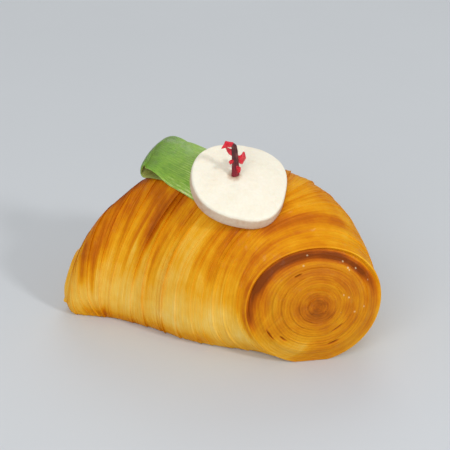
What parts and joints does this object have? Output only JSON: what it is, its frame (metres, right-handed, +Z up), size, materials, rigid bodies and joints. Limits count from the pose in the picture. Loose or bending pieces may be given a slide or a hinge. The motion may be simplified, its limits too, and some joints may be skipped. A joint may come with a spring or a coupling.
{
  "type": "savoury sfogliatella",
  "caption": "Baked bent-horn shell of thin coiled dough layers, topped with a folded leek strip, a round pale slice and a dried red sprig.",
  "frame": {"origin": "on the flat underside, below the thickest part of the shell, in the plane it rests on", "axes": "+X from the pinched seam towards the coiled round face, +Y to the back, +Z up"},
  "size_m": [0.1049, 0.0539, 0.071],
  "materials": {
    "baked_layers": "thin crisp baked dough layers, satin, golden with browned edges",
    "green_leek": "moist ribbed leaf, soft gloss",
    "pale_slice": "smooth moist pale slice, soft sheen",
    "dried_red": "dry dark red stem and glossy red petals"
  },
  "bodies": {
    "root": {"pastry": "baked_layers", "leek_strip": "green_leek", "pale_slice": "pale_slice", "red_sprig": "dried_red"}
  },
  "joints": []
}
